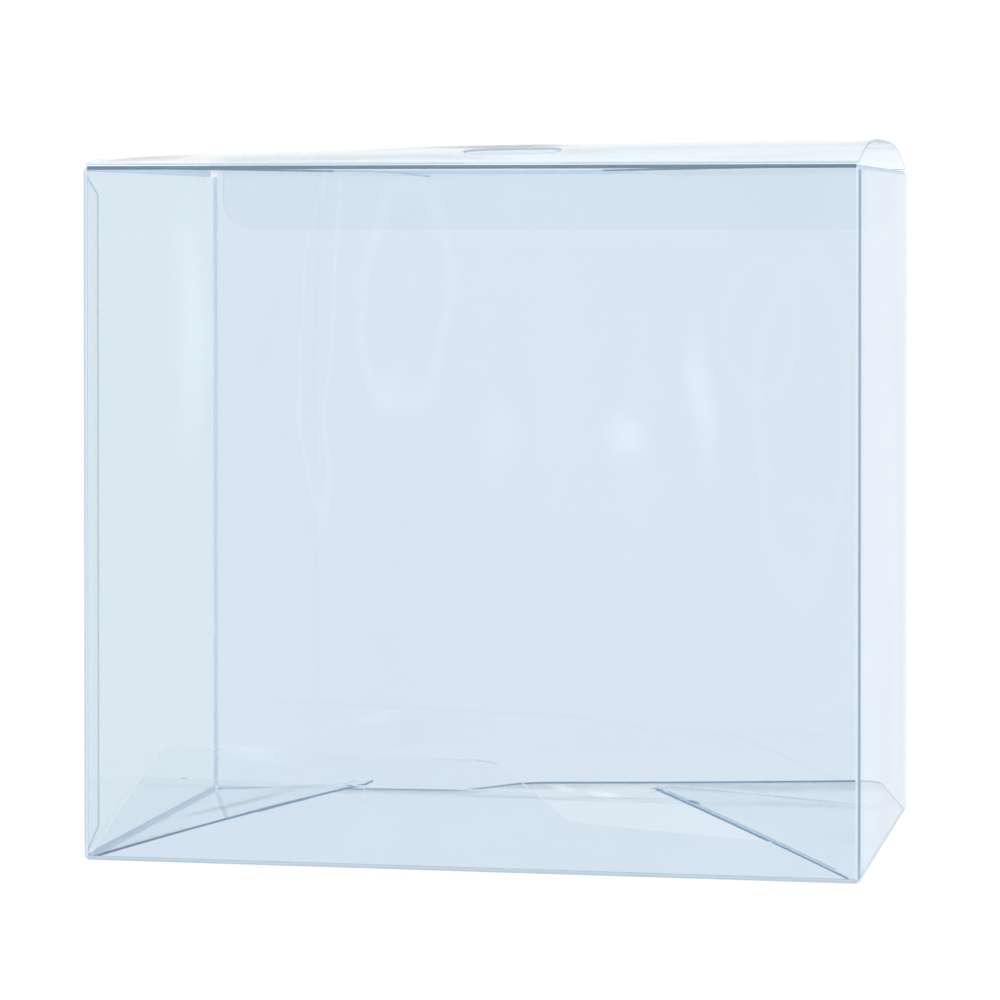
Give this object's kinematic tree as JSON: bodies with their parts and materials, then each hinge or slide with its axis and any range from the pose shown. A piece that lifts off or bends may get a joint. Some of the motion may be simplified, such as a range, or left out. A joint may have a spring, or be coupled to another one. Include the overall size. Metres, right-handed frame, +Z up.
{
  "type": "figure box protector",
  "caption": "Clear folding case of creased plastic sheet with a bowed tuck-in lid, two dust flaps and a self-locking bottom, which stands around a boxed figure.",
  "frame": {"origin": "middle of the footprint, on the surface that the case stands on", "axes": "+Z up, +X along the width to the right, front wall facing -Y"},
  "size_m": [0.204, 0.132, 0.1895],
  "materials": {
    "clear_sheet": "clear gloss"
  },
  "bodies": {
    "case": {"box": "clear_sheet"},
    "lid": {"lid": "clear_sheet"}
  },
  "joints": [
    {"name": "lid_hinge", "type": "hinge", "parent": "case", "child": "lid", "pos_m": [0, -0.066, 0.182], "axis": [1, 0, 0], "range_deg": [0, 180]}
  ]
}
